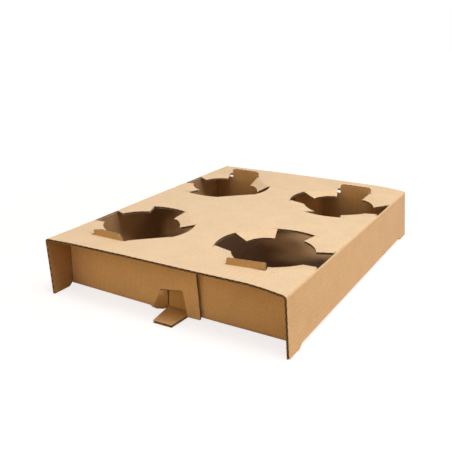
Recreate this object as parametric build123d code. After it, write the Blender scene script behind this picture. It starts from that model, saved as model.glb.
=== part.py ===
from build123d import *
from math import asin, cos, degrees, radians, sin, sqrt
import os

# A four-cup carrier folded from one die-cut sheet of corrugated card, as it stands in use.
# The sheet is an open-ended sleeve: a top panel with four cup openings, two side walls,
# and a bottom made of two flaps that meet edge to edge. At each end the flaps turn up into
# an end wall that stands back from the open end and locks into the top with two tongues.
# Millimetres. X runs across the carrier, Y towards the back and Z up from the floor.
# Places in X are given from the middle of the top panel. The finished sheet is moved so that
# the origin is under the middle of the whole leaning sleeve.

# The board and its folds.
board = 2.5
fold_inner_radius = 0.8
cut_gap = 0.3

# The sleeve. It leans a little sideways: its walls stand further right at the floor.
top_width = 262.0
top_depth = 364.0
top_height = 57.2
wall_lean = 5.0
flap_rise = 1.4
flap_meeting = -6.0

# Each side wall runs past the bottom flap at both ends and stands on a foot there.
foot_length = 22.0
foot_slope = 7.0

# The four cup openings: each is a star of four notches with four petals between them.
opening_pitch_x = 156.0
opening_pitch_y = 181.2
opening_shift_x = -2.0
opening_radius = 58.4
petal_tip_radius = 40.8
notch_outer_width = 42.8
notch_inner_width = 32.0
nick_length = 5.0
nick_width = 0.6
fold_edge_trim = 0.8

# How far each petal is pressed down, in degrees, counterclockwise from the petal at the
# back right of its opening.
petal_sag = {
    "front_left": (16.0, 3.0, 6.0, 62.0),
    "front_right": (5.0, 18.0, 19.0, 11.0),
    "back_left": (30.0, 10.0, 1.0, 66.0),
    "back_right": (17.5, 20.0, 14.0, 11.5),
}

# The end walls. Both flaps fold up on one line, and the end of the left flap's panel
# steps outwards to lap over the end of the right flap's panel.
end_wall_y = 156.5
end_wall_lean = 10.0
shoulder_gap = 1.6
side_gap = 0.6
lap_start = -24.0
lap_end = -8.0
outer_panel_end = 35.5
outer_panel_taper = 7.0
inner_panel_end = -2.4

# The tongues of the end walls, and the squared notches that they stand in.
tongue_width = 38.6
tongue_shift_x = {"front": -1.2, "back": 1.8}
tongue_rise = {"front": 5.6, "back": 8.5}
tongue_corner = 2.0
tongue_notch_reach = 57.0

# The lock in the outer panel: a mouth open at the floor, a tab that stays flat in it,
# and a small leaf that is pushed in beside the edge of the inner panel.
mouth_left = -20.5
mouth_right = 22.8
mouth_top_left = -11.0
mouth_top_right = 14.0
mouth_height = 21.4
mouth_corner = 3.0
tab_left = -4.2
tab_tip_left = -1.2
tab_tip_right = 19.5
tab_tip_y = 183.8
tab_droop = 2.5
tab_root_depth = 26.0
leaf_end = -5.9
leaf_swing = 31.0
leaf_rise = 0.2

fold_outer_radius = fold_inner_radius + board
half_width = top_width / 2
half_depth = top_depth / 2
fold_centre_z = flap_rise + fold_outer_radius
bend_y = end_wall_y - fold_outer_radius


def lean_at(z):
    """How far right the leaning sleeve has moved at height z."""
    return wall_lean * (top_height - z) / top_height


def tube(bottom_z):
    """The section of the sleeve in the XZ plane: board all round, with rounded folds."""
    outside = make_face(Polyline(
        (-half_width, top_height),
        (half_width, top_height),
        (half_width + lean_at(bottom_z), bottom_z),
        (-half_width + lean_at(bottom_z), bottom_z),
        close=True,
    ))
    outside = fillet(outside.vertices(), fold_outer_radius)
    return Plane.XZ * (outside - offset(outside, -board))


def block(x_range, y_range, z_range):
    """A box between two places along each axis."""
    spans = [high - low for low, high in (x_range, y_range, z_range)]
    middle = [(high + low) / 2 for low, high in (x_range, y_range, z_range)]
    return Pos(*middle) * Box(*spans)


def sleeve():
    """Top panel, side walls with their feet, and the two bottom flaps."""
    hood = extrude(tube(-top_height), top_depth / 2, both=True)
    below = block((-top_width, top_width), (-top_depth, top_depth), (-2 * top_height, 0))
    foot_back = half_depth - foot_length
    slope_back = foot_back - foot_slope
    between_feet = Plane.YZ * make_face(Polyline(
        (-foot_back, -cut_gap),
        (-foot_back, 0),
        (-slope_back, fold_centre_z),
        (slope_back, fold_centre_z),
        (foot_back, 0),
        (foot_back, -cut_gap),
        close=True,
    ))
    hood = hood - below - extrude(between_feet, top_width, both=True)
    flaps = extrude(tube(flap_rise), bend_y, both=True)
    meeting = block((flap_meeting - cut_gap / 2, flap_meeting + cut_gap / 2),
                    (-top_depth, top_depth), (0, fold_centre_z))
    return hood + (flaps - meeting)


def opening_reach():
    """How far from the middle of an opening the corners of its notches lie."""
    return sqrt(opening_radius**2 - (notch_outer_width / 2)**2)


def star(tongue_side):
    """The outline of an opening. The notch on the tongue's side, 1 or -1 in Y, is squared."""
    half, reach = notch_outer_width / 2, opening_reach()
    tongue_quarter = 1 if tongue_side > 0 else 3
    outline = make_face(Polyline(
        (reach, half), (half, reach), (-half, reach), (-reach, half),
        (-reach, -half), (-half, -reach), (half, -reach), (reach, -half),
        close=True,
    ))
    notch_angle = degrees(asin(half / opening_radius))
    nick_angle = notch_angle + degrees(nick_length / 2 / opening_radius)
    end = Circle(opening_radius) & Pos(opening_radius, 0) * Rectangle(
        2 * (opening_radius - reach), notch_outer_width)
    nick = Pos(opening_radius, 0) * Rectangle(nick_width, nick_length)
    squared = Pos(tongue_notch_reach / 2, 0) * Rectangle(tongue_notch_reach, notch_outer_width)
    for quarter in range(4):
        outline += Rot(0, 0, 90 * quarter) * (squared if quarter == tongue_quarter else end)
        outline += Rot(0, 0, 90 * quarter + nick_angle) * nick
        outline += Rot(0, 0, 90 * quarter - nick_angle) * nick
    return outline


def opening_cut(place, tongue_side):
    """What an opening takes out of the sleeve. At a side wall it stops at the fold."""
    outline = place * star(tongue_side)
    inside = half_width - board
    through = extrude(outline, -2 * board) + extrude(outline, board)
    edge = extrude(outline, -fold_edge_trim) + extrude(outline, board)
    reach_y = (-top_depth, top_depth)
    height = (0, 2 * top_height)
    return (through & block((-inside, inside), reach_y, height)) + (
        edge & block((-half_width, half_width), reach_y, height))


def petal(sag, quarter):
    """One petal about the middle of its opening, pressed down about its hinge line."""
    half, reach = notch_outer_width / 2, opening_reach()
    half_tip = notch_inner_width / 2
    tip_reach = sqrt(petal_tip_radius**2 - half_tip**2)
    diagonal = petal_tip_radius * cos(radians(45))
    outline = make_face([
        Line((reach, half), (half, reach)),
        Line((half, reach), (half_tip, tip_reach)),
        ThreePointArc((half_tip, tip_reach), (diagonal, diagonal), (tip_reach, half_tip)),
        Line((tip_reach, half_tip), (reach, half)),
    ])
    flat = extrude(outline, -board)
    hinge = Axis((half, reach, 0), (reach - half, half - reach, 0))
    return Rot(0, 0, 90 * quarter) * flat.rotate(hinge, sag)


def wall_plane():
    """The outer face of the front panels. Its origin lies where the bend ends."""
    lean = radians(end_wall_lean)
    normal = Vector(0, -cos(lean), sin(lean))
    centre = Vector(0, -bend_y, fold_centre_z)
    return Plane(origin=centre + normal * fold_outer_radius, x_dir=(1, 0, 0), z_dir=normal)


def up_wall(z):
    """The distance up the panels' face from the end of the bend to the height z."""
    return (z - wall_plane().origin.Z) / cos(radians(end_wall_lean))


def bend(start, end):
    """The rounded fold between a bottom flap and its panel, from x = start to x = end."""

    def on_circle(radius, share):
        angle = radians(90 + end_wall_lean) * share
        return -bend_y - radius * sin(angle), fold_centre_z - radius * cos(angle)

    inner = [on_circle(fold_inner_radius, share) for share in (0, 0.5, 1)]
    outer = [on_circle(fold_outer_radius, share) for share in (0, 0.5, 1)]
    section = Plane.YZ * make_face([
        ThreePointArc(*outer),
        Line(outer[2], inner[2]),
        ThreePointArc(*inner),
        Line(inner[0], outer[0]),
    ])
    return Pos(start, 0, 0) * extrude(section, end - start)


def bottom_plate(start, end, inner_y, outer_y):
    """A flat piece of the bottom near the front, between two places in X and two in Y."""
    return block((start, end), (-outer_y, -inner_y), (flap_rise, flap_rise + board))


def shoulder_height():
    """How far up its face a panel's shoulders reach, just under the top."""
    return up_wall(top_height - board - shoulder_gap)


def leaning_outline(left, right, right_taper=0):
    """A panel up to its shoulders. It leans as the sleeve does, and its right end may taper."""
    high = shoulder_height()
    drift = wall_lean * high / top_height
    return make_face(Polyline(
        (left, 0), (right, 0), (right - drift - right_taper, high), (left - drift, high),
        close=True))


def tongue_outline(half_pitch, row):
    """The tongue that stands up from a panel and through the notch of an opening."""
    low, high = shoulder_height() - board, up_wall(top_height + tongue_rise[row])
    middle = opening_shift_x + half_pitch + tongue_shift_x[row]
    outline = Pos(middle, (low + high) / 2) * Rectangle(tongue_width, high - low)
    return chamfer(outline.vertices().sort_by(Axis.Y)[-2:], tongue_corner)


def mouth_corners():
    """The corners of the mouth on the outer panel's face, counterclockwise from its foot."""
    low, high = up_wall(0), up_wall(flap_rise + mouth_height)
    return (mouth_left, low), (mouth_right, low), (mouth_top_right, high), (mouth_top_left, high)


def lapped_board():
    """Board as tall as the end wall, stepping outwards where it laps over the inner panel."""
    step = board + cut_gap
    face = wall_plane()
    section = Plane(origin=face.origin, x_dir=(1, 0, 0), z_dir=face.y_dir) * make_face(Polyline(
        (-half_width, 0), (lap_start, 0), (lap_end, -step), (half_width, -step),
        (half_width, board - step), (lap_end, board - step), (lap_start, board),
        (-half_width, board), close=True))
    return extrude(section, top_height, both=True)


def outer_panel(row):
    """The panel of the left flap at the front or back, with the lock."""
    start = -half_width + wall_lean + board + side_gap
    outline = leaning_outline(start, outer_panel_end, outer_panel_taper)
    outline += tongue_outline(-opening_pitch_x / 2, row)
    ear_low = up_wall(flap_rise)
    ear_middle = (mouth_right + outer_panel_end) / 2
    outline += Pos(ear_middle, ear_low / 2) * Rectangle(outer_panel_end - mouth_right, -ear_low)
    mouth = make_face(Polyline(*mouth_corners(), close=True))
    mouth = fillet(mouth.vertices().sort_by(Axis.Y)[-2:], mouth_corner)
    panel = lapped_board() & extrude(wall_plane() * (outline - mouth), 2 * board, both=True)
    bend_start = -half_width + lean_at(flap_rise) + fold_outer_radius
    return panel + bend(bend_start, mouth_left) + leaf() + tab()


def leaf():
    """The small leaf of the lock, swung in about the sloping left side of the mouth."""
    foot, _, _, head = mouth_corners()
    slope = (head[0] - foot[0]) / (head[1] - foot[1])
    low, high = up_wall(leaf_rise), head[1] - mouth_corner
    hinge_low = (foot[0] + slope * (low - foot[1]), low)
    hinge_high = (foot[0] + slope * (high - foot[1]), high)
    outline = make_face(Polyline(
        hinge_low, (leaf_end, low), (leaf_end, high + mouth_corner / 2), hinge_high,
        close=True))
    hinge_step = (board + cut_gap) / 2
    face = wall_plane().offset(hinge_step)
    hinge_start = face.from_local_coords(Vector(*hinge_low))
    hinge_end = face.from_local_coords(Vector(*hinge_high))
    flat = extrude(face * outline, -board)
    swung = flat.rotate(Axis(hinge_start, hinge_end - hinge_start), leaf_swing)
    worn_off = block((mouth_left, 0), (-half_depth, 0), (-top_height, leaf_rise))
    return swung - worn_off


def tab():
    """The tab that stays flat, with the root that joins it to the left flap."""
    root_back = bend_y - tab_root_depth
    root = bottom_plate(flap_meeting - board, mouth_right, root_back, bend_y)
    length = tab_tip_y - bend_y
    outline = make_face(Polyline(
        (tab_left, 0), (tab_tip_left, -length), (tab_tip_right, -length), (mouth_right, 0),
        close=True))
    hinge = Pos(0, -bend_y, flap_rise + board) * Rot(tab_droop, 0, 0)
    return root + hinge * extrude(outline, -board)


def tab_root_space():
    """What the right flap leaves clear for the root of the tab."""
    return bottom_plate(flap_meeting - cut_gap / 2, mouth_right + cut_gap,
                        bend_y - tab_root_depth - cut_gap, end_wall_y)


def inner_panel(row):
    """The panel of the right flap, whose end stands behind the outer panel."""
    end = half_width + wall_lean - board - side_gap
    attached = mouth_right + cut_gap
    outline = leaning_outline(inner_panel_end, end)
    outline += tongue_outline(opening_pitch_x / 2, row)
    over_root = up_wall(flap_rise + board + cut_gap)
    notch = Pos(0, over_root / 2 - top_height / 2) * Rectangle(2 * attached, top_height + over_root)
    bend_end = half_width + lean_at(flap_rise) - fold_outer_radius
    return extrude(wall_plane() * (outline - notch), -board) + bend(attached, bend_end)


def carrier():
    """The folded sheet, as one solid."""
    sheet = sleeve()
    between_walls = block((-half_width + board, half_width - board),
                          (-half_depth, half_depth), (0, 2 * top_height))
    petals = []
    for row, back in (("front", -1), ("back", 1)):
        for column, right in (("left", -1), ("right", 1)):
            middle = (opening_shift_x + right * opening_pitch_x / 2, back * opening_pitch_y / 2)
            place = Pos(*middle, top_height)
            sheet -= opening_cut(place, back)
            for quarter, sag in enumerate(petal_sag[f"{row}_{column}"]):
                petals.append(place * petal(sag, quarter) & between_walls)
    root_space = tab_root_space()
    sheet = sheet - root_space - root_space.mirror(Plane.XZ)
    front = outer_panel("front") + inner_panel("front")
    back = outer_panel("back") + inner_panel("back")
    sheet = sheet + petals + front + back.mirror(Plane.XZ)
    return Pos(-wall_lean / 2, 0, 0) * sheet


if __name__ == "__main__":
    os.makedirs("parts", exist_ok=True)
    carrier_sheet = carrier()
    print("solids", len(carrier_sheet.solids()), "volume", round(carrier_sheet.volume))
    export_step(carrier_sheet, "parts/carrier_sheet.step")
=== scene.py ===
# %% [markdown]
# # A cup carrier folded from one sheet of corrugated card
#
# The real carrier is a single die-cut blank: two thin paper liners with a wavy paper between
# them. It is folded into an open-ended sleeve with star-shaped cup openings. This lesson
# builds the blank the same way. Flat outlines are cut and filled with triangles, and a few
# functions then say where each point of the flat blank ends up once it is folded.

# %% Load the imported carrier
from collections import namedtuple
from functools import partial
from math import acos, asin, atan, cos, pi, radians, sin, sqrt, tan

import bmesh
import bpy
import numpy as np
from mathutils import Matrix, Vector, geometry


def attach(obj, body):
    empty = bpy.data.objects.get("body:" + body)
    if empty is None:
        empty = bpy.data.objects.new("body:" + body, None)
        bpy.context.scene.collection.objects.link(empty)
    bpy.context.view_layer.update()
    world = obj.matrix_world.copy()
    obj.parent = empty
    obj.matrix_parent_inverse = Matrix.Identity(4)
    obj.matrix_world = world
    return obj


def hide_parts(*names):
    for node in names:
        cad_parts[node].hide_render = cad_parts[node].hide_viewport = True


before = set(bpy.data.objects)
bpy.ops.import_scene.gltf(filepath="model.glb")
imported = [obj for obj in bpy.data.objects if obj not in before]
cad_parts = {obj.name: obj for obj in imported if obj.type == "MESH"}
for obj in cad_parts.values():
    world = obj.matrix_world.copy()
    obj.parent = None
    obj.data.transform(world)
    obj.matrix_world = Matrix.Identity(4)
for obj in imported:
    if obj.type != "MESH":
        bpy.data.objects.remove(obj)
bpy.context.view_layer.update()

MM = 0.001

# %% [markdown]
# ## The camera
#
# The camera stands at the right of the front edge and looks down at about nineteen degrees.
# It comes first, so that every later step can be judged in the view that counts.

# %% Camera
camera_place = (319.5, -626.9, 280.6)
camera_turn, camera_tilt, camera_roll = radians(29.115), radians(71.214), radians(0.567)
camera_data = bpy.data.cameras.new("camera")
camera_data.lens = 52.07
camera = bpy.data.objects.new("camera", camera_data)
camera.matrix_world = (
    Matrix.Translation(Vector(camera_place) * MM)
    @ Matrix.Rotation(camera_turn, 4, "Z")
    @ Matrix.Rotation(camera_tilt, 4, "X")
    @ Matrix.Rotation(camera_roll, 4, "Z")
)
bpy.context.scene.collection.objects.link(camera)
bpy.context.scene.camera = camera
print("camera", [round(v, 3) for v in camera.matrix_world.translation])

# %% [markdown]
# ## The sizes of the folded carrier
#
# All sizes are in millimetres, and only the last step turns them into metres. Heights are from
# the floor, and X is from the middle of the top panel. The side walls stand on feet that run
# from `foot_back` to the rims. The bottom flaps between them meet at `flap_meeting`, and at
# `bend_y` they begin to turn up into the end walls. `hair` and `touch` are two tolerances.

# %% Sizes
board = 2.5
liner, flute_paper, flute_pitch = 0.3, 0.22, 6.4
inner_radius = 0.8
fold_radius = inner_radius + board / 2
half_width, half_depth = 131.0, 182.0
top_height, wall_lean, top_shift = 57.2, 5.0, -2.5
flap_rise, flap_gap, flap_meeting = 1.4, 0.15, -6.0
bend_y, foot_back = 153.2, 160.0
hair, touch = 1e-6, 1e-3
print("top", 2 * half_width, "by", 2 * half_depth, "mm, board", board, "mm")

# %% [markdown]
# ## Folding the sleeve
#
# Seen from its open end, the sleeve is a ring of board with four rounded folds. A point of
# the flat blank has a distance s along the middle of the board, a depth y, and a height w
# through the board. The ring is walked once, from the middle of the top out to each side and
# down to the flaps. The table that the walk leaves turns s into a place and a tilt.

# %% The ring as a table
lean = atan(wall_lean / top_height)
fold_points, flap_reach = 8, 200


def half_ring(side):
    """Rows of s, x, z and tilt from the middle of the top to a flap, on side 1 or -1."""
    tilt = side * lean
    first_turn, second_turn = pi / 2 - tilt, pi / 2 + tilt
    slide = board / 2 * (1 - sin(tilt)) / cos(tilt)
    corner_x = half_width - board / 2 * cos(tilt) + slide * sin(tilt)
    drop = (top_height - board / 2 * sin(tilt) - flap_rise - board / 2) / cos(tilt) - slide
    trims = [fold_radius * tan(turn / 2) for turn in (first_turn, second_turn)]
    steps = [(corner_x - trims[0], 0), (0, first_turn), (drop - sum(trims), 0),
             (0, second_turn), (flap_reach, 0)]
    s, place, heading = 0.0, np.array([0.0, top_height - board / 2]), 0.0
    rows = [(s, *place, heading)]
    for straight, turn in steps:
        if straight:
            s += straight
            place = place + straight * np.array([cos(heading), -sin(heading)])
            rows.append((s, *place, heading))
        else:
            centre = place + fold_radius * np.array([-sin(heading), -cos(heading)])
            for share in np.linspace(1 / fold_points, 1, fold_points):
                now = heading + turn * share
                spot = centre + fold_radius * np.array([sin(now), cos(now)])
                rows.append((s + fold_radius * turn * share, *spot, now))
            s, place, heading = s + fold_radius * turn, np.array(rows[-1][1:3]), heading + turn
    return np.array(rows) * (side, side, 1, side)


halves = {side: half_ring(side) for side in (1, -1)}
ring = np.vstack([halves[-1][::-1], halves[1][1:]])
top_fold_row, wall_end_row = 1 + fold_points // 2, 2 + fold_points
flap_fold_row, flap_start_row = wall_end_row + fold_points // 2, wall_end_row + fold_points
wall_end = {side: half[wall_end_row] for side, half in halves.items()}
flap_start = {side: half[flap_start_row] for side, half in halves.items()}
print("walls end at s", wall_end[1][0].round(1), "and flaps start at x", flap_start[1][1].round(1))

# %% [markdown]
# Each opening is a star: four notches, and four petals that a cup presses down. The petals are
# part of the blank, so folding them is one more step on the way of a point: past its hinge
# line the board turns down along a short arc and then runs straight on. `petal_sag` holds how
# many degrees each petal hangs, counterclockwise from the one that points right and back. One
# petal, beside the slot of a turned tongue, is wider and stays level at its corner. The
# openings end at a fence along the middle of each side fold.

# %% Openings and their petals
pitch_x, pitch_y, shift_x = 156.0, 181.2, -2.0
opening_radius, petal_tip_radius = 58.4, 40.8
notch_half, tip_half = 21.4, 16.0
notch_reach = sqrt(opening_radius**2 - notch_half**2)
hinge_distance = (notch_reach + notch_half) / sqrt(2)
hinge_half = (notch_reach - notch_half) / sqrt(2)
hinge_arc, longest_petal = 2.5, 30
petal_sag = {
    (-1, -1): (16.0, 3.0, 6.0, 62.0),
    (1, -1): (5.0, 18.0, 19.0, 11.0),
    (-1, 1): (35.0, 10.0, 1.0, 66.0),
    (1, 1): (17.5, 20.0, 14.0, 11.5),
}
wide_petal, wide_by = ((1, -1), 3), 2.8
middles = {key: np.array([shift_x + key[0] * pitch_x / 2, key[1] * pitch_y / 2])
           for key in petal_sag}
fence = {side: half[top_fold_row][0] for side, half in halves.items()}
petal_gap = 0.5


def bent(distance, angle, arc):
    """How far along and how far off a strip lies, bent through an angle over a short arc."""
    turn = angle * np.clip(distance / arc, 0, 1)
    radius = arc / np.maximum(angle, 1e-4)
    rest = np.maximum(distance - arc, 0)
    return (radius * np.sin(turn) + rest * np.cos(turn),
            radius * (1 - np.cos(turn)) + rest * np.sin(turn), turn)


def petal_directions(quarter):
    """Out from an opening's middle through a petal, and across the petal."""
    angle = radians(45 + 90 * quarter)
    return np.array([cos(angle), sin(angle)]), np.array([-sin(angle), cos(angle)])


def press_petals(flat, place, normal):
    """Bends the points of the top that lie past a petal's hinge line."""
    s = flat[:, 0]
    within = (s > fence[-1] + petal_gap / 2) & (s < fence[1] - petal_gap / 2)
    for key, sags in petal_sag.items():
        for quarter, sag in enumerate(sags):
            out, across = petal_directions(quarter)
            local = flat - middles[key]
            past, side = hinge_distance - local @ out, local @ across
            slack = wide_by if (key, quarter) == wide_petal else touch
            on = within & (past > hair) & (past < longest_petal)
            on &= abs(side) < hinge_half + slack
            level = np.clip((hinge_half + slack - abs(side[on])) / slack, 0, 1)
            along, off, turn = bent(past[on], radians(sag) * level, hinge_arc)
            inward = np.array([-out[0], -out[1], 0])
            place[on] += (along - past[on])[:, None] * inward - off[:, None] * (0, 0, 1)
            normal[on] = np.outer(np.sin(turn), inward) + np.outer(np.cos(turn), (0, 0, 1))


print("petals hinge", round(hinge_distance, 1), "mm from the middles", *middles.values())

# %% [markdown]
# Handling has bulged the top between the side folds, most of all at its open rims. The crown
# is drawn like a contour map: each row is a depth y, and says how far the top rises at a few
# places across. The walls stretch up with it, less and less towards the floor.

# %% The crown of the top
crown_x = [-131, -96, -32, 32, 96, 112, 131]
crown = {
    -182: [1.6, 2.8, 3.4, 3.4, 3.8, 2.6, 0.0],
    -165: [1.3, 1.6, 1.9, 1.9, 2.1, 1.5, 0.0],
    -147: [1.1, 0.7, 0.9, 0.8, 0.8, 0.6, 0.0],
    -90: [1.2, 0.8, 0.7, 0.7, 0.6, 0.4, 0.0],
    -40: [1.2, 1.2, 1.3, 1.4, 1.3, 0.9, 0.0],
    0: [1.1, 1.0, 1.1, 1.2, 1.1, 0.7, 0.0],
    40: [1.0, 0.6, 0.6, 0.5, 0.3, 0.1, 0.0],
    120: [0.9, 0.7, 0.7, 0.8, 0.8, 0.5, 0.0],
    182: [0.4, 1.1, 2.1, 2.5, 2.5, 1.5, -0.2],
}


def crown_at(x, y):
    """How far the top stands above its true height."""
    rows = np.array([np.interp(x, crown_x, row) for row in crown.values()])
    depths = np.array(list(crown))
    upper = np.clip(np.searchsorted(depths, y), 1, len(depths) - 1)
    share = np.clip((y - depths[upper - 1]) / (depths[upper] - depths[upper - 1]), 0, 1)
    spots = np.arange(len(x))
    return rows[upper - 1, spots] * (1 - share) + rows[upper, spots] * share


def fold_sleeve(flat, height):
    """Where points of the sleeve go: flat holds s and y, and height is w through the board."""
    s, y = flat.T
    for_wall = np.clip(s, wall_end[-1][0], wall_end[1][0])
    is_foot = (abs(y) > bend_y + hair) & (for_wall != s)
    walked = np.where(is_foot, for_wall, s)
    x, z, tilt = (np.interp(walked, ring[:, 0], ring[:, n]) for n in (1, 2, 3))
    extra = np.where(is_foot, abs(s - for_wall), 0)
    x, z = x + extra * np.cos(tilt) * np.sign(s), z - extra * abs(np.sin(tilt))
    z += crown_at(x, y) * np.clip(z / top_height, 0, 1)
    place = np.stack([x, y, z], 1)
    normal = np.stack([np.sin(tilt), 0 * y, np.cos(tilt)], 1)
    press_petals(flat, place, normal)
    return place + normal * np.reshape(height, (-1, 1))


front_rim = np.array([[x, -half_depth] for x in (-96.0, 0.0, 96.0)])
print("front rim at heights", fold_sleeve(front_rim, board / 2)[:, 2].round(1))

# %% [markdown]
# ## Folding the flaps
#
# The bottom flaps lie flat, and their ends turn up into the end walls and lean back a little.
# The left flap's end wall steps outwards to lap over the other one. Parts of a wall that
# aren't joined to its flap, here called ears, run straight down instead of going round the
# bend. Above the slots the front tongues stand upright. Distances `up` are measured along the
# card from the start of the bend.

# %% The end walls
wall_angle = pi / 2 + radians(10.0)
bend_length = fold_radius * wall_angle
fold_centre_z = flap_rise + inner_radius + board
shoulder_height = 48.56
shoulder, slot_level = shoulder_height + bend_length, 51.5 + bend_length
lap_start, lap_end, lap_step = -24.0, -8.0, board + 0.3
ear_left, ear_start = 15.0, -2
inner_ear_right, inner_ear_start = 20.79, 0.5


def end_wall(x, up, is_straight):
    """Place and outward normal of the end wall, for a distance up from the bend's start."""
    turn = np.where(is_straight, wall_angle, np.clip(up / fold_radius, 0, wall_angle))
    rest = np.where(is_straight, up - bend_length, np.maximum(up - bend_length, 0))
    y = bend_y + fold_radius * np.sin(turn) + rest * np.cos(turn)
    z = fold_centre_z - fold_radius * np.cos(turn) + rest * np.sin(turn)
    return np.stack([x, y, z], 1), np.stack([0 * x, np.sin(turn), -np.cos(turn)], 1)


def lap_at(x):
    """How far outwards the left end wall has stepped at x."""
    share = np.clip((x - lap_start) / (lap_end - lap_start), 0, 1)
    return lap_step * share * share * (3 - 2 * share)


def on_ear(x, up, laps):
    """Whether a point is on the part of an end wall that isn't joined to its flap."""
    if laps:
        return (x > ear_left) & (up > ear_start)
    return (x < inner_ear_right) & (up > inner_ear_start)


print("end walls stand", round(fold_centre_z + shoulder_height * sin(wall_angle), 1), "mm high")

# %% [markdown]
# The lock's mouth has sloping sides. The left one isn't cut but creased: there hangs the leaf,
# all that is left of the card in the mouth, and is swung in. A notch goes on a little way into
# the flap, so that the leaf's foot is free.

# %% The leaf of the lock
mouth = {"low": -5.35, "left": -20.2, "right": 22.8,
         "high_left": -11.2, "top_left": 16.4, "high_right": 14.2, "top_right": 19.9}
mouth_side = np.array([mouth["high_left"] - mouth["left"], mouth["top_left"] - mouth["low"]])
mouth_side /= np.linalg.norm(mouth_side)
mouth_foot = np.array([mouth["left"], mouth["low"] + bend_length])
across_hinge = np.array([mouth_side[1], -mouth_side[0]])
notch_right, notch_low = -7.2, -1.9
leaf_swing, leaf_arc = radians(31.0), 1.5
leaf_lowest, leaf_highest = -1.6, mouth["top_left"] + bend_length + 0.4


def past_hinge(x, up):
    """How far a point of the left flap lies past the hinge of the leaf."""
    return (np.stack([x, up], 1) - mouth_foot) @ across_hinge


def on_leaf(x, up):
    """Whether a point of the left flap is on the leaf. The flap beside the notch isn't."""
    beside_notch = (x > notch_right - hair) & (up < hair)
    within = (x < ear_left) & (up > leaf_lowest) & (up < leaf_highest)
    return (past_hinge(x, up) > hair) & within & ~beside_notch


def step_and_swing(place, normal, x, ramp, past):
    """Steps the left end wall out over the right one, and swings its leaf in."""
    place = place + normal * (lap_at(x) * ramp)[:, None]
    rise = np.array([0, cos(wall_angle), sin(wall_angle)])
    sideways = mouth_side[1] * np.array([1.0, 0, 0]) - mouth_side[0] * rise
    along, off, turn = bent(past, leaf_swing, leaf_arc)
    place = place + (np.outer(along, sideways) - normal * off[:, None])
    return place, normal * np.cos(turn)[:, None] + np.outer(np.sin(turn), sideways)


print("the leaf's hinge leans", round(np.degrees(np.arctan2(*mouth_side)), 1), "degrees")

# %% [markdown]
# Use has moved the feet and heads of the front walls in and out. A warp is a list of places
# across, and how far the wall stands out there at its foot and at its head. The flap behind
# it gives way too, from `warp_start` on.

# %% The warp of the front walls, and the whole flap
warp_start = 130
left_warp = ([-130, -100, -20, 35], [-2.0, -0.8, 2.2, 0.9], [3.5, 0.0, 0.6, 0.0])
right_warp = ([-2, 22, 45, 57, 93, 110, 130], [-1.5, -0.5, 0.2, 0.4, 0.8, 1, 1.2],
              [0, 0, 0, 1.2, -4.8, 0, 0])


def warped(x, depth, laps):
    """How far a front wall and its flap stand out of true."""
    spots, foot, head = left_warp if laps else right_warp
    share = np.clip((depth - bend_y) / shoulder, 0, 1)
    reach = np.clip((depth - warp_start) / (bend_y - warp_start), 0, 1)
    return (np.interp(x, spots, foot) * (1 - share) + np.interp(x, spots, head) * share) * reach


def fold_flap(flat, height, laps):
    """Where points of a bottom flap and its end walls go. laps is true for the left flap."""
    x, depth = flat[:, 0], abs(flat[:, 1])
    end, up = np.where(flat[:, 1] < 0, -1.0, 1.0), depth - bend_y
    is_ear, is_leaf = on_ear(x, up, laps), laps & on_leaf(x, up)
    past = np.where(is_leaf, past_hinge(x, up), 0)
    x, up = x - past * mouth_side[1], up + past * mouth_side[0]
    on_wall, is_straight = (up > 0) | is_ear, is_ear | is_leaf
    place, normal = end_wall(x, np.where(on_wall, up, 0), is_straight)
    above_slot = np.where(end < 0, np.maximum(up - slot_level, 0), 0)
    place[:, 1] += above_slot * -cos(wall_angle)
    place[:, 1] = np.where(on_wall, place[:, 1], bend_y + up)
    if laps:
        ramp = np.where(is_straight, 1, np.clip(up / bend_length, 0, 1))
        place, normal = step_and_swing(place, normal, x, ramp, past)
    place = place + normal * np.reshape(height, (-1, 1))
    place[:, 1] += np.where(end < 0, warped(flat[:, 0], depth, laps), 0)
    place[:, 1] *= end
    return place


front_foot = np.array([[-20.0, -bend_y]])
print("the left front wall's foot", fold_flap(front_foot, 0, True).round(1))

# %% [markdown]
# ## Cutting the blank
#
# Each patch of the blank is three lists of outlines: card, what a die cuts out of it, and what
# stays all the same, such as the petals. Blender's constrained Delaunay triangulation fills
# them at once and says which outlines each triangle lies in, so cutting is one simple choice.
# Extra lines across the patch give the folds rows of points to bend at.

# %% The cutter
outline_margin, same_point = 1, 1e-4


def rounded(before, corner, after, radius, steps=4):
    """The points of a rounded corner, which lies between two others."""
    before, corner, after = (np.array(point, float) for point in (before, corner, after))
    back, on = before - corner, after - corner
    back, on = back / np.linalg.norm(back), on / np.linalg.norm(on)
    half = acos(np.clip(back @ on, -1, 1)) / 2
    middle = (back + on) / np.linalg.norm(back + on)
    centre = corner + middle * radius / sin(half)
    first, last = corner + back * radius / tan(half), corner + on * radius / tan(half)
    points = []
    for share in np.linspace(0, 1, steps + 1):
        spot = first * (1 - share) + last * share - centre
        points.append(centre + spot / np.linalg.norm(spot) * radius)
    return points


def rectangle(x_range, y_range):
    """The outline between two places in x and two in y."""
    (left, right), (low, high) = sorted(x_range), sorted(y_range)
    return [(left, low), (right, low), (right, high), (left, high)]


def counterclockwise(outline):
    """The outline as the triangulation wants it, with its inside on the left."""
    x, y = np.array(outline, float).T
    area = np.sum(x * np.roll(y, -1) - y * np.roll(x, -1))
    return [tuple(point) for point in (outline if area > 0 else outline[::-1])]


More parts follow.
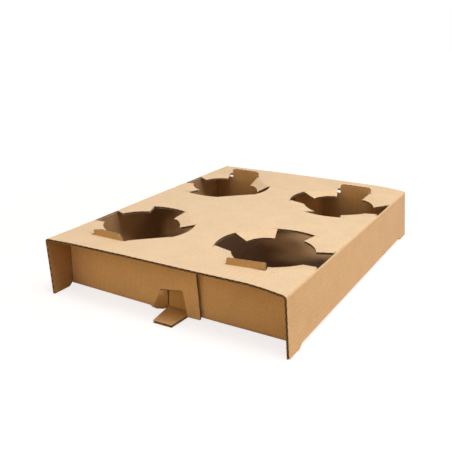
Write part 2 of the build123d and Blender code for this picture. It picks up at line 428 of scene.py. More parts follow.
def cut_out(cards, cuts, kept, x_lines, y_lines, creases):
    """Points and triangles of a patch: cards without cuts, and what is kept all the same.

    On the sleeve the openings end at the side folds, so cuts and kept pieces stop there.
    """
    outlines = [counterclockwise(outline) for outline in cards + cuts + kept]
    corners = np.array([point for outline in outlines for point in outline])
    low, high = corners.min(0) - outline_margin, corners.max(0) + outline_margin
    points, edges, faces = [], [], []
    for outline in outlines:
        faces.append(list(range(len(points), len(points) + len(outline))))
        points += outline
    lines = [((x, low[1]), (x, high[1])) for x in x_lines]
    lines += [((low[0], y), (high[0], y)) for y in y_lines]
    for start, stop in lines + creases:
        edges.append((len(points), len(points) + 1))
        points += [tuple(start), tuple(stop)]
    vectors = [Vector((float(x), float(y))) for x, y in points]
    found = geometry.delaunay_2d_cdt(vectors, edges, faces, 0, same_point)
    places, triangles, origins = np.array([tuple(v) for v in found[0]]), found[2], found[5]
    first_cut, first_kept = len(cards), len(cards) + len(cuts)
    chosen = []
    for triangle, inside in zip(triangles, origins):
        x = places[list(triangle), 0].mean()
        room = min(x - fence[-1], fence[1] - x)
        is_card = any(n < first_cut for n in inside)
        is_cut = room > 0 and any(first_cut <= n < first_kept for n in inside)
        is_kept = room > petal_gap and any(n >= first_kept for n in inside)
        if (is_card and not is_cut) or is_kept:
            chosen.append(triangle)
    used, inverse = np.unique(np.array(chosen), return_inverse=True)
    return places[used], inverse.reshape(-1, 3)


square, hole = rectangle((0, 4), (0, 4)), rectangle((1, 3), (1, 3))
print("square with a hole:", len(cut_out([square], [hole], [], [], [], [])[1]), "triangles")

# %% [markdown]
# The notches of an opening have round ends, but for the one that holds a tongue, which ends in
# a straight slot. The slot at the front right has been forced open aslant by its tongue, and a
# corner of card stands beside it. Two thin nicks beside each notch let the petals bend.

# %% Outlines of an opening
arc_points, tip_points = 13, 9
slot_reach = 57.0
nick_half, nick_inner, nick_outer = 2.5, 58.1, 58.7
slot_ends = {(1, -1): [(58.3, -notch_half), (58.3, -18.5), (51.0, 16.9)]}
slot_corner = [(51.0, 16.9), (36.9, 11.8), (37.4, 16.3), (54.6, 21.8), (54.6, 16.9)]


def on_circle(radius, angle):
    return radius * np.array([cos(angle), sin(angle)])


def turned(outline, quarter):
    """An outline turned about the opening's middle by quarters of a full turn."""
    turn = radians(90 * quarter)
    matrix = np.array([[cos(turn), -sin(turn)], [sin(turn), cos(turn)]])
    return [matrix @ np.array(point) for point in outline]


def star(key):
    """The four notches and the middle of an opening, as outlines that are cut away."""
    octagon = [(notch_reach, notch_half), (notch_half, notch_reach), (-notch_half, notch_reach),
               (-notch_reach, notch_half), (-notch_reach, -notch_half),
               (-notch_half, -notch_reach), (notch_half, -notch_reach), (notch_reach, -notch_half)]
    shapes = [octagon]
    open_angle, nick = asin(notch_half / opening_radius), nick_half / opening_radius
    slot_quarter = 1 if key[1] > 0 else 3
    for quarter in range(4):
        end = [on_circle(opening_radius, angle)
               for angle in np.linspace(-open_angle, open_angle, arc_points)]
        if quarter == slot_quarter:
            end = slot_ends.get(key, [(slot_reach, -notch_half), (slot_reach, notch_half)])
        shapes.append(turned([(notch_half, -notch_half), *end, (notch_half, notch_half)], quarter))
        for sign in (-1, 1):
            middle = sign * (open_angle + nick)
            corners = [(nick_inner, -nick), (nick_outer, -nick), (nick_outer, nick), (nick_inner, nick)]
            shapes.append(turned([on_circle(radius, middle + step) for radius, step in corners],
                                 quarter))
    return [[np.array(point) + middles[key] for point in shape] for shape in shapes]


def petals(key):
    """The four petals of an opening, as outlines that are kept."""
    arc_half = asin(tip_half / petal_tip_radius)
    tips = [on_circle(petal_tip_radius, angle)
            for angle in np.linspace(pi / 2 - arc_half, arc_half, tip_points)]
    shapes = []
    for quarter in range(4):
        shapes.append(turned([(notch_reach, notch_half), (notch_half, notch_reach), *tips], quarter))
        if (key, quarter) == wide_petal:
            shapes.append(turned(slot_corner, quarter))
    return [[point + middles[key] for point in shape] for shape in shapes]


print("front right opening: cuts and kept pieces", len(star((1, -1))), len(petals((1, -1))))

# %% [markdown]
# ## The patches of the blank
#
# The sleeve is one patch, and each bottom flap with its two end walls is another. Where two
# patches meet they share their edge points, and the flap has no cut edge there, so the paper
# runs on without a seam.

# %% Outlines of the sleeve
foot_trim = 0.11
foot_run = {side: (wall_end[side][2] - foot_trim) / abs(sin(wall_end[side][3])) for side in (-1, 1)}
flap_s, flap_x = ({side: row[n] for side, row in flap_start.items()} for n in (0, 1))
hinge_rows = (0.6, 1.2, 1.8, hinge_arc)


def sleeve_outlines():
    """The top with its side walls, the folds down to the flaps, and the four feet."""
    cards = [rectangle((wall_end[-1][0], wall_end[1][0]), (-half_depth, half_depth)),
             rectangle((flap_s[-1], flap_s[1]), (-bend_y, bend_y))]
    for side in (-1, 1):
        near = wall_end[side][0]
        far = near + side * foot_run[side]
        for end in (-1, 1):
            cards.append([(near, end * bend_y), (far, end * foot_back),
                          (far, end * half_depth), (near, end * half_depth)])
    cuts = [shape for key in petal_sag for shape in star(key)]
    kept = [shape for key in petal_sag for shape in petals(key)]
    return cards, cuts, kept


def petal_creases():
    """Lines beside each hinge, where the board needs points to bend smoothly."""
    creases = []
    for middle in middles.values():
        for quarter in range(4):
            out, across = petal_directions(quarter)
            for past in hinge_rows:
                spot = middle + out * (hinge_distance - past)
                creases.append((spot - across * hinge_half, spot + across * hinge_half))
    return creases


print("sleeve outlines", [len(part) for part in sleeve_outlines()])

# %% [markdown]
# The end walls are drawn as they lie in the blank, beyond the ends of the flaps. Both have a
# tongue that will stand up through an opening's notch. The front left one is torn off along
# an uneven line, and the front right one has turned in its slot, so it stands a little higher.

# %% Outlines of the tongues
tongue_width, tongue_corner, tongue_root = 38.6, 2.0, 2
tongue_height = {-1: 58.4 + bend_length, 1: 61.35 + bend_length}
tongue_shift = {-1: -1.2, 1: 1.8}
torn_by = 4.8
torn_edge = [(-97.9, 0.0), (-97.7, 5.6), (-95.0, 6.0), (-88.5, 7.4), (-80.0, 6.9), (-72.0, 6.9),
             (-66.4, 6.3), (-63.8, 4.2), (-61.4, 1.4), (-60.2, -1.5)]
turned_tongue, turned_rise, turned_corner = (56.3, 92.4), 1.7, 0.8


def at_end(end, outline):
    """An outline of x and distance past the bend, laid out at one end of the blank."""
    return [(x, end * (bend_y + up)) for x, up in outline]


def tongue(side, end):
    """A tongue's outline, from a little way inside its end wall to its top edge."""
    root = shoulder - tongue_root
    if (side, end) == (-1, -1):
        level = tongue_height[end] - torn_by
        return at_end(end, [(torn_edge[0][0], root), (torn_edge[-1][0], root)]
                      + [(x, level + up) for x, up in torn_edge[::-1]])
    left = middles[side, end][0] + tongue_shift[end] - tongue_width / 2
    right, high, corner = left + tongue_width, tongue_height[end], tongue_corner
    if (side, end) == (1, -1):
        (left, right), high, corner = turned_tongue, high + turned_rise, turned_corner
    return at_end(end, [(left, root), (right, root), (right, high - corner),
                        (right - corner, high), (left + corner, high), (left, high - corner)])


print("tongue heights", {end: round(high, 1) for end, high in tongue_height.items()})

# %% [markdown]
# The tab is a strip of the left flap. It runs out under the right wall, from a root that takes
# the place of the right flap's inner corner.

# %% Outlines of the flaps
side_gap, cut_gap = 0.6, 0.3
shoulder_drift = wall_lean * shoulder_height / top_height
ear_end, ear_taper, ear_low = 35.5, 7.0, bend_length - 3.93
ear_foot, ear_heel = 22.3, 20.9
mouth_corner, hinge_run = 3, (0.6, 22.2)
leaf_bottom = [(-19.4, -1.3), (-7.8, -1.2), (notch_right - 0.1, 0.1), (-3.2, 0.4)]
leaf_corner_x, leaf_corner_rise = -4.8, 1.2
inner_end, over_root = -2.4, bend_length - 0.1
root_back, root_right = bend_y - 26, 22.8
tab_left, tab_tip_left, tab_tip_right, tab_tip_y = -4.2, -1.2, 19.5, 183.8


def left_flap_outlines():
    """The left flap with its end walls, the mouths in them, and the leaves that stay."""
    cards = [rectangle((flap_x[-1], flap_meeting - flap_gap), (-bend_y, bend_y))]
    cuts, kept = [], []
    low, top_left, top_right = (mouth[key] + bend_length for key in ("low", "top_left", "top_right"))
    mouth_lean = mouth["high_left"] - mouth["left"]
    left = mouth["left"] + (notch_low - low) / (top_left - low) * mouth_lean
    right = mouth["right"] - low / (top_right - low) * (mouth["high_right"] - mouth["right"])
    low_left, low_right = (left, notch_low), (right, 0)
    high_right, high_left = (mouth["high_right"], top_right), (mouth["high_left"], top_left)
    opening = [low_left, (notch_right, notch_low), (notch_right, 0), low_right,
               *rounded(low_right, high_right, high_left, mouth_corner),
               *rounded(high_right, high_left, low_left, mouth_corner)]
    edge = -half_width + wall_lean + board + side_gap
    hinge = [mouth_foot + mouth_side * along for along in hinge_run]
    for end in (-1, 1):
        cards.append(at_end(end, rectangle((flap_x[-1], 0), (0, bend_length))))
        cards.append(at_end(end, [
            (edge, bend_length), (ear_end, bend_length),
            (ear_end - shoulder_drift - ear_taper, shoulder), (edge - shoulder_drift, shoulder)]))
        cards.append(at_end(end, [(ear_foot, ear_low), (ear_end, ear_low), (ear_end, bend_length),
                                  (ear_heel, bend_length)]))
        cards.append(tongue(-1, end))
        cuts.append(at_end(end, opening))
        leaf_corner = (leaf_corner_x, hinge[1][1] + leaf_corner_rise)
        kept.append(at_end(end, [hinge[0], *leaf_bottom, leaf_corner, hinge[1]]))
    return cards, cuts, kept


def right_flap_outlines():
    """The right flap with its end walls, cut free where the tab has its root."""
    attached = root_right + cut_gap
    cards = [rectangle((flap_meeting + flap_gap, flap_x[1]), (-bend_y, bend_y))]
    cuts = []
    edge = half_width + wall_lean - board - side_gap
    for end in (-1, 1):
        cards.append(at_end(end, rectangle((attached, flap_x[1]), (0, bend_length))))
        cards.append(at_end(end, [
            (inner_end, over_root), (attached, over_root), (attached, bend_length),
            (edge, bend_length), (edge - shoulder_drift, shoulder),
            (inner_end - shoulder_drift, shoulder)]))
        cards.append(tongue(1, end))
        cuts.append(rectangle((flap_meeting - outline_margin, attached),
                              (end * (root_back - cut_gap), end * (bend_y + outline_margin))))
    return cards, cuts, []


def tab_outlines(end):
    """The tab of one end with its root, which carries on from the left flap."""
    reach = tab_tip_y - bend_y
    return [rectangle((flap_meeting - flap_gap, root_right), (end * root_back, end * bend_y)),
            at_end(end, [(tab_left, 0), (root_right, 0), (tab_tip_right, reach),
                         (tab_tip_left, reach)])], [], []


for outlines in (left_flap_outlines, right_flap_outlines):
    print(outlines.__name__, [len(part) for part in outlines()])

# %% [markdown]
# The tab's root is as flat as the flap. Beyond the bend the tab droops almost to the table.

# %% Folding the tab
tab_droop = radians(2.5)


def fold_tab(flat, height):
    """Where points of a tab go."""
    x, y = flat.T
    past = np.maximum(abs(y) - bend_y, 0)
    place = np.stack([x, y, flap_rise + board / 2 - past * sin(tab_droop)], 1)
    return place - np.outer(np.reshape(height, -1) + np.zeros(len(x)), (0, 0, 1))


print("the tab's tip", fold_tab(np.array([[tab_tip_left, -tab_tip_y]]), board / 2).round(2))

# %% [markdown]
# ## Finishes
#
# Kraft paper has fine fibres and flecks, soft blotches, and a faint washboard where the flutes
# press through. Every pattern reads its place from the UV map of the flat blank, and so runs
# on over the folds. Each effect is a node group, which the liners, the cut edges and the flutes
# use with their own values. The helpers below make and link a node in one line.

# %% Helpers for node trees
def new_group(name, inputs, outputs):
    """A shader node group. Inputs are (name, kind, default) and outputs are (name, kind)."""
    tree = bpy.data.node_groups.new(name, "ShaderNodeTree")
    for label, kind, default in inputs:
        socket = tree.interface.new_socket(label, in_out="INPUT", socket_type="NodeSocket" + kind)
        if default is not None:
            socket.default_value = default
    for label, kind in outputs:
        tree.interface.new_socket(label, in_out="OUTPUT", socket_type="NodeSocket" + kind)
    return tree, tree.nodes.new("NodeGroupInput"), tree.nodes.new("NodeGroupOutput")


def add(tree, kind, sockets=None, **settings):
    """A node with its settings made and its input sockets set to values or linked."""
    made = tree.nodes.new("ShaderNode" + kind)
    for name, value in settings.items():
        setattr(made, name, value)
    for name, value in (sockets or {}).items():
        if isinstance(value, bpy.types.NodeSocket):
            tree.links.new(value, made.inputs[name])
        else:
            made.inputs[name].default_value = value
    return made


def noise(tree, place, scale, detail=2.0, roughness=0.5):
    """A noise whose scale is roughly how many of its spots fit in a metre of card."""
    sockets = {"Vector": place, "Scale": scale, "Detail": detail, "Roughness": roughness}
    return add(tree, "TexNoise", sockets).outputs["Fac"]


def reckon(tree, operation, a, b=0.0, c=0.0):
    """A calculation with one to three values."""
    return add(tree, "Math", {0: a, 1: b, 2: c}, operation=operation).outputs[0]


def spread(tree, value, low, high, to_low=0.0, to_high=1.0):
    """Maps a value smoothly from one range to another."""
    sockets = {"Value": value, "From Min": low, "From Max": high, "To Min": to_low, "To Max": to_high}
    return add(tree, "MapRange", sockets, interpolation_type="SMOOTHSTEP").outputs["Result"]


print("helpers", [helper.__name__ for helper in (new_group, add, noise, reckon, spread)])

# %% [markdown]
# The first group is the paper. Two stretched noises make short fibres, a fine one the grain and
# a coarse one the blotches. Dark flecks come from the highest peaks of another noise.

# %% Group: paper
paper, given, result = new_group(
    "paper",
    [("Place", "Vector", None), ("Colour", "Color", (0.7, 0.5, 0.3, 1)), ("Grain", "Float", 0.1),
     ("Blotches", "Float", 0.1), ("Flecks", "Float", 0.3)],
    [("Colour", "Color"), ("Height", "Float")])
fibre_scales, grain_scale, blotch_scale, fleck_scale = (2600, 2100), 620, 38, 1100
place = given.outputs["Place"]
along = add(paper, "VectorMath", {0: place, 1: (1, 0.14, 1)}, operation="MULTIPLY").outputs[0]
across = add(paper, "VectorMath", {0: place, 1: (0.2, 1, 1)}, operation="MULTIPLY").outputs[0]
fibres = reckon(paper, "ADD", noise(paper, along, fibre_scales[0], 3, 0.6),
                noise(paper, across, fibre_scales[1], 3, 0.6))
grain = reckon(paper, "ADD", fibres, noise(paper, place, grain_scale, 3, 0.65))
grain = reckon(paper, "SUBTRACT", grain, 1.5)
blotches = reckon(paper, "SUBTRACT", noise(paper, place, blotch_scale, 3, 0.6), 0.5)
shade = reckon(paper, "MULTIPLY", grain, given.outputs["Grain"])
shade = reckon(paper, "ADD", shade, reckon(paper, "MULTIPLY", blotches, given.outputs["Blotches"]))
shade = reckon(paper, "ADD", shade, 1.0)
shaded = add(paper, "VectorMath", {0: given.outputs["Colour"], "Scale": shade}, operation="SCALE")
peaks = spread(paper, noise(paper, along, fleck_scale, 1, 0.4), 0.69, 0.76)
fleck_amount = reckon(paper, "MULTIPLY", peaks, given.outputs["Flecks"])
flecked = add(paper, "Mix", {0: fleck_amount, 6: shaded.outputs[0], 7: (0.2, 0.11, 0.05, 1)},
              data_type="RGBA")
paper.links.new(flecked.outputs[2], result.inputs["Colour"])
paper.links.new(grain, result.inputs["Height"])
print("group", paper.name, len(paper.nodes), "nodes")

# %% [markdown]
# The second group is the washboard. Its waves lie over the flutes, and come and go, because the
# glue doesn't pull the liner down everywhere alike.

# %% Group: washboard
washboard, given, result = new_group(
    "washboard", [("Place", "Vector", None)], [("Wave", "Float")])
sides = add(washboard, "SeparateXYZ", {0: given.outputs["Place"]})
wave = reckon(washboard, "SINE", reckon(washboard, "MULTIPLY", sides.outputs["X"],
                                        2 * pi / (flute_pitch * MM)))
patchy = spread(washboard, noise(washboard, given.outputs["Place"], 16, 2), 0.35, 0.7, 0.25, 1)
washboard.links.new(reckon(washboard, "MULTIPLY", wave, patchy), result.inputs["Wave"])
print("group", washboard.name, len(washboard.nodes), "nodes")

# %% [markdown]
# Folding bruises the liner, so a narrow, broken line of paler fibres runs along every crease.
# The third group measures how far the nearest one is. The side folds lie at fixed places
# across the blank, and those of the end walls at one depth. Only the flaps have the latter, so
# over the sleeve a whole metre is added to that distance.

# %% Group: fold wear
worn_core, worn_edge = 0.0002, 0.0018
fold_wear, given, result = new_group("fold wear", [("Place", "Vector", None)], [("Mask", "Float")])
sides = add(fold_wear, "SeparateXYZ", {0: given.outputs["Place"]})
across = reckon(fold_wear, "ABSOLUTE", sides.outputs["X"])
depth = reckon(fold_wear, "ABSOLUTE", sides.outputs["Y"])
top_fold, flap_fold = (halves[1][row][0] * MM for row in (top_fold_row, flap_fold_row))
wall_fold = (bend_y + bend_length / 2) * MM
to_top, to_flap, to_wall = (
    reckon(fold_wear, "ABSOLUTE", reckon(fold_wear, "SUBTRACT", place, fold))
    for place, fold in ((across, top_fold), (across, flap_fold), (depth, wall_fold)))
in_sleeve = reckon(fold_wear, "LESS_THAN", across, flap_s[1] * MM)
to_wall = reckon(fold_wear, "ADD", to_wall, in_sleeve)
nearest = reckon(fold_wear, "MINIMUM", reckon(fold_wear, "MINIMUM", to_top, to_flap), to_wall)
line = spread(fold_wear, nearest, worn_core, worn_edge, 1, 0)
broken = spread(fold_wear, noise(fold_wear, given.outputs["Place"], 320, 4, 0.7), 0.42, 0.62)
fold_wear.links.new(reckon(fold_wear, "MULTIPLY", line, broken), result.inputs["Mask"])
print("group", fold_wear.name, len(fold_wear.nodes), "nodes")

# %% [markdown]
# A finish joins the three groups to a shader, and paints shade and light into some parts. A point
# attribute says where: 1 on the tongues, the tab, the leaf and the lap, and −1 where the inside of a
# back wall is paler. There the colour is multiplied by the finish's own `painted_light_and_shade`
# colour: a browner painted shade on the outside liner, a paler painted light on the inside liner.
# A finish minds values below zero only if its `least` is −1. The inside liner is darker than the
# outside one, as the openings of the real one look, and the flutes' faces are darker still, a
# painted shade for the hollows between the flutes.

# %% The card's finishes
gloss, sheen, sheen_roughness = 0.25, 0.25, 0.35
fold_wear_strength, bump_depth = 0.25, 0.00012
worn_gain, worn_lift = 1.22, 0.03
roughness_swing, middle_roughness, wave_height = 0.12, 0.58, 0.35


def kraft_finish(name, colour, grain, blotches, flecks, wave_painted_shade, bump, painted_light_and_shade=(1, 1, 1),
                 least=0):
    """A paper finish made of the three groups. The shader itself stays in the material."""
    finish = bpy.data.materials.new(name)
    finish.use_nodes = True
    tree = finish.node_tree
    shader = tree.nodes["Principled BSDF"]
    for label, value in (("Specular IOR Level", gloss), ("Sheen Weight", sheen),
                         ("Sheen Roughness", sheen_roughness)):
        shader.inputs[label].default_value = value
    blank_place = add(tree, "UVMap", uv_map="blank").outputs["UV"]
    sheet = add(tree, "Group", node_tree=paper)
    waves = add(tree, "Group", node_tree=washboard)
    wear = add(tree, "Group", node_tree=fold_wear)
    for group in (sheet, waves, wear):
        tree.links.new(blank_place, group.inputs["Place"])
    for label, value in (("Colour", (*colour, 1)), ("Grain", grain), ("Blotches", blotches),
                         ("Flecks", flecks)):
        sheet.inputs[label].default_value = value
    # Painted shade: the colour is darkened and lightened along the washboard's waves, as their slopes
    # would be shaded.
    wave_painted_light = reckon(tree, "MULTIPLY_ADD", waves.outputs["Wave"], wave_painted_shade, 1.0)
    waved = add(tree, "VectorMath", {0: sheet.outputs["Colour"], "Scale": wave_painted_light}, operation="SCALE")
    pale = tuple(min(1, c * worn_gain + worn_lift) for c in colour) + (1,)
    worn = add(tree, "Mix", {0: reckon(tree, "MULTIPLY", wear.outputs["Mask"], fold_wear_strength),
                             6: waved.outputs[0], 7: pale}, data_type="RGBA")
    # Painted shade and light: where the point attribute is set, the colour is multiplied by the
    # finish's painted colour.
    tone = add(tree, "Attribute", attribute_name="painted_light_and_shade").outputs["Fac"]
    tone = reckon(tree, "ABSOLUTE", reckon(tree, "MAXIMUM", tone, least))
    toned = add(tree, "Mix", {0: tone, 6: worn.outputs[2], 7: (*painted_light_and_shade, 1)},
                data_type="RGBA", blend_type="MULTIPLY")
    tree.links.new(toned.outputs[2], shader.inputs["Base Color"])
    roughness = reckon(tree, "MULTIPLY_ADD", sheet.outputs["Height"], roughness_swing,
                       middle_roughness)
    tree.links.new(roughness, shader.inputs["Roughness"])
    height = reckon(tree, "MULTIPLY_ADD", waves.outputs["Wave"], wave_height,
                    sheet.outputs["Height"])
    relief = add(tree, "Bump", {"Strength": bump, "Distance": bump_depth, "Height": height})
    tree.links.new(relief.outputs["Normal"], shader.inputs["Normal"])
    return finish


# The outside liner gets a darker, browner painted shade, and the inside liner a paler painted light.
outside_finish = kraft_finish(
    "kraft_outside", colour=(0.74, 0.50, 0.26), grain=0.42, blotches=0.22, flecks=0.3,
    wave_painted_shade=0.012, bump=0.6, painted_light_and_shade=(0.74, 0.64, 0.42))
inside_finish = kraft_finish(
    "kraft_inside", colour=(0.37, 0.2, 0.075), grain=0.26, blotches=0.24, flecks=0.3,
    wave_painted_shade=0.03, bump=0.6, painted_light_and_shade=(1.75, 1.85, 1.75), least=-1)
edge_finish = kraft_finish(
    "kraft_cut_edge", colour=(0.74, 0.52, 0.29), grain=0.3, blotches=0.1, flecks=0.2,
    wave_painted_shade=0.0, bump=0.4)
# Painted shade: the flutes' faces are near black, to stand for the shade in the hollows between them.
flute_painted_shade_finish = kraft_finish(
    "kraft_flute_painted_shade", colour=(0.12, 0.075, 0.045), grain=0.3, blotches=0.2, flecks=0.2,
    wave_painted_shade=0.0, bump=0.5)
# Painted shade: the inside liner's cut edges are darkened, for the shade on the far edges of the
# openings.
painted_shade_edge_finish = kraft_finish(
    "kraft_painted_shade_edge", colour=(0.3, 0.19, 0.1), grain=0.3, blotches=0.2, flecks=0.2,
    wave_painted_shade=0.0, bump=0.5)
print("finishes", [m.name for m in bpy.data.materials])

# %% [markdown]
# ## Where shade and light are painted
#
# The tones are worked out in the flat blank, as the outlines are. The leaf, the front tongues
# and what the left walls cover get a browner painted shade. The back walls get a paler painted
# light towards their tongues.

# %% Tones of the patches
beside_fade, back_fade = 14, 26
covered_margin, covered_fade = 1.5, 6
leaf_right, corner_reach = leaf_bottom[-1][0] + 0.3, 3.5


def tongue_tone(flat):
    """Painted shade and light: 1 on the front tongues and 0 below them. The back walls fall to -1
    towards their tongues.
    """
    x, up = flat[:, 0], abs(flat[:, 1]) - bend_y
    from_tongue = abs(abs(x - shift_x - tongue_shift[1]) - pitch_x / 2)
    beside = np.clip((tongue_width / 2 + beside_fade - from_tongue) / beside_fade, 0, 1)
    front = np.clip((up - shoulder + tongue_root) / tongue_root, 0, 1)
    return np.where(flat[:, 1] < 0, front, -np.clip(up / back_fade - 1, 0, 1) * beside)


def leaf_tone(flat):
    """Painted shade and light: 1 on the leaf of the lock, and the tone of the tongues on the rest
    of the left flap.
    """
    x, up = flat[:, 0], abs(flat[:, 1]) - bend_y
    past = past_hinge(x, up)
    on = (x < leaf_right) & (up > leaf_lowest) & (up < leaf_highest)
    on &= (past > mouth_corner) | (up < mouth["top_left"] + bend_length - corner_reach)
    leaf = np.clip(past / leaf_arc, 0, 1) * on
    return np.where(leaf > 0, leaf, tongue_tone(flat))


def lapped_tone(flat):
    """Painted shade and light: 1 where the left end walls cover the right ones, and the tone of the
    tongues elsewhere.
    """
    covered = np.clip((ear_end - covered_margin - flat[:, 0]) / covered_fade, 0, 1)
    covered *= abs(flat[:, 1]) > bend_y
    return np.where(covered > 0, covered, tongue_tone(flat))


tips = np.array([[middles[key][0], key[1] * (bend_y + shoulder)] for key in middles])
print("tones at the tongues", tongue_tone(tips))

# %% [markdown]
# ## Rows of points
#
# A triangle can't bend, so the board needs rows of points wherever it folds or bulges. The wavy
# middle paper has a fine step across its waves and a long one along them.

# %% Lines for the folds
liner_step, flute_step, flute_run = 8, 0.8, 26
top_run, left_wall_run, right_wall_run = (-127, 127), (-180, -131), (131.2, 180.2)
sleeve_reach, rim_margin = 190, 6
lock_run, lock_step = (-5, 34), 4
tab_run, tab_step, tab_rows = (-5, 20), 5, (160, 168, 176)


def spaced(low, high, step):
    """Places from low to high, about a step apart."""
    return list(np.linspace(low, high, max(2, round((high - low) / step) + 1)))


def lines_across(step):
    """Places in s where the sleeve gets a row of points."""
    lines = [row[0] for row in ring if abs(row[0]) < sleeve_reach]
    lines += [fence[1] - petal_gap, fence[-1] + petal_gap]
    for run in (top_run, left_wall_run, right_wall_run):
        lines += spaced(*run, step)
    return sorted(set(np.round(lines, 3)))


def leaf_creases():
    """Lines beside the leaf's hinge, as for the petals."""
    creases = []
    for end in (-1, 1):
        for past in (leaf_arc / 2, leaf_arc):
            shift = across_hinge * past
            creases.append(at_end(end, [mouth_foot + mouth_side * along + shift
                                        for along in (0, 22)]))
    return creases


bend_lines = [end * (bend_y + bend_length * share)
              for end in (-1, 1) for share in np.linspace(0, 1, fold_points + 1)]
root_lines = [end * y for end in (-1, 1) for y in (root_back, root_back - cut_gap)]
walls_up = [end * (bend_y + up)
            for end in (-1, 1) for up in spaced(bend_length, shoulder, liner_step)[1:]]
print("rows of the sleeve", len(lines_across(liner_step)), "and of the flutes",
      len(lines_across(flute_step)))

# %% [markdown]
# A patch holds its points and triangles, the function that folds it, a test for the edges that
# are left open towards a neighbour (the sleeve has none), and its tone. `in_blank` says where
# it lies in the blank: a start, and 1 or −1 for the way that its X runs, as the flaps are
# unrolled the other way.

# %% The patches
Patch = namedtuple("Patch", "points triangles fold is_joint in_blank tone")
flap_in_blank = {side: (flap_s[side] + flap_x[side], -1) for side in (-1, 1)}


def on_line(x_joint, low=0.0):
    """A test for edges on the joint at one x, from the depth low to the bend."""
    def test(a, b):
        depths = abs(a[1]), abs(b[1])
        return (abs(a[0] - x_joint) < touch and abs(b[0] - x_joint) < touch
                and low - touch < min(depths) and max(depths) < bend_y + touch)
    return test


def sleeve_patch(step, rows):
    rows = sorted(set(rows + [rim_margin - half_depth, half_depth - rim_margin]))
    cut = cut_out(*sleeve_outlines(), lines_across(step), rows, petal_creases())
    return Patch(*cut, fold_sleeve, lambda a, b: False, (0, 1), lambda flat: np.zeros(len(flat)))


def left_flap_patch(step, rows):
    lines = spaced(flap_x[-1] + outline_margin, flap_meeting - outline_margin, step)
    lines += spaced(*lock_run, min(step, lock_step))
    cut = cut_out(*left_flap_outlines(), lines, rows, leaf_creases())
    joints = on_line(flap_x[-1]), on_line(flap_meeting - flap_gap, root_back)
    return Patch(*cut, partial(fold_flap, laps=True),
                 lambda a, b: any(test(a, b) for test in joints), flap_in_blank[-1], leaf_tone)


def right_flap_patch(step, rows):
    lines = spaced(flap_meeting + outline_margin, flap_x[1] - outline_margin, step)
    cut = cut_out(*right_flap_outlines(), lines, rows, [])
    return Patch(*cut, partial(fold_flap, laps=False), on_line(flap_x[1]), flap_in_blank[1],
                 lapped_tone)


def tab_patch(end, step, rows):
    rows = [y for y in rows if root_back - 0.1 < end * y < bend_y + 0.1]
    rows += [end * y for y in tab_rows]
    cut = cut_out(*tab_outlines(end), spaced(*tab_run, min(step, tab_step)), rows, [])
    joint = on_line(flap_meeting - flap_gap, root_back)
    # The whole tab gets tone 1, so both its liners get their painted shade or painted light.
    return Patch(*cut, fold_tab, joint, flap_in_blank[-1], lambda flat: np.ones(len(flat)))


def patches(step, y_step):
    """All the patches of one layer of the board."""
    rows = spaced(-bend_y, bend_y, y_step)
    up_walls = walls_up if y_step == liner_step else []
    flap_rows = sorted(set(rows + bend_lines + root_lines + up_walls))
    return [sleeve_patch(step, rows), left_flap_patch(step, flap_rows),
            right_flap_patch(step, flap_rows),
            *(tab_patch(end, step, flap_rows) for end in (-1, 1))]


print("flaps in the blank", {side: round(float(at[0]), 1) for side, at in flap_in_blank.items()})

# %% [markdown]
# ## Layers of board
#
# Each of the three layers is a thin closed slab between two heights through the board. The
# middle one's heights follow a wave, so every cut edge shows the real flutes.

# %% Slabs
weld_distance, sharp_angle = 0.00001, radians(35)


def slab(patch, low, high, blank):
    """Vertices, faces, which faces are cut edges, and each vertex's place in the blank and tone."""
    points, triangles = patch.points, patch.triangles
    count = len(points)
    places = np.vstack([patch.fold(points, high), patch.fold(points, low)])
    faces = [tuple(t) for t in triangles] + [tuple(t[::-1] + count) for t in triangles]
    flats = len(faces)
    edges = np.sort(np.vstack([triangles[:, [0, 1]], triangles[:, [1, 2]], triangles[:, [2, 0]]]), 1)
    unique, counts = np.unique(edges, axis=0, return_counts=True)
    for a, b in unique[counts == 1]:
        if not patch.is_joint(points[a], points[b]):
            faces.append((a, b, b + count, a + count))
    return places, faces, [n >= flats for n in range(len(faces))], np.vstack([blank, blank])


def board_object(name, slabs, finishes):
    """One object of several slabs, welded where their edges meet."""
    places, faces, cut, flat = [], [], [], []
    for slab_places, slab_faces, slab_cut, slab_flat in slabs:
        first = sum(len(p) for p in places)
        faces += [tuple(int(v) + first for v in face) for face in slab_faces]
        places.append(slab_places)
        flat.append(slab_flat)
        cut += slab_cut
    places, flat = (np.vstack(places) + (top_shift, 0, 0)) * MM, np.vstack(flat)
    mesh = bpy.data.meshes.new(name)
    mesh.from_pydata(places.tolist(), [], faces)
    mesh.polygons.foreach_set("material_index", np.array(cut, np.int32))
    layer = mesh.uv_layers.new(name="blank")
    loops = np.zeros(len(mesh.loops), np.int32)
    mesh.loops.foreach_get("vertex_index", loops)
    layer.data.foreach_set("uv", (flat[loops, :2] * MM).astype(np.float32).ravel())
    # The point attribute of painted shade and light, from each patch's tone.
    painted_light_and_shade = mesh.attributes.new("painted_light_and_shade", "FLOAT", "POINT")
    painted_light_and_shade.data.foreach_set("value", flat[:, 2].astype(np.float32))
    for finish in finishes:
        mesh.materials.append(finish)
    work = bmesh.new()
    work.from_mesh(mesh)
    bmesh.ops.remove_doubles(work, verts=work.verts, dist=weld_distance)
    bmesh.ops.recalc_face_normals(work, faces=work.faces)
    work.to_mesh(mesh)
    work.free()
    mesh.shade_smooth()
    mesh.set_sharp_from_angle(angle=sharp_angle)
    piece = bpy.data.objects.new(name, mesh)
    bpy.context.scene.collection.objects.link(piece)
    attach(piece, "root")
    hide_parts("carrier_sheet")
    print(name, len(mesh.vertices), "vertices", len(mesh.polygons), "faces")
    return piece


# %% [markdown]
# Each layer is built from the same patches, with its own heights and its own two finishes: one
# for its faces and one for its cut edges.

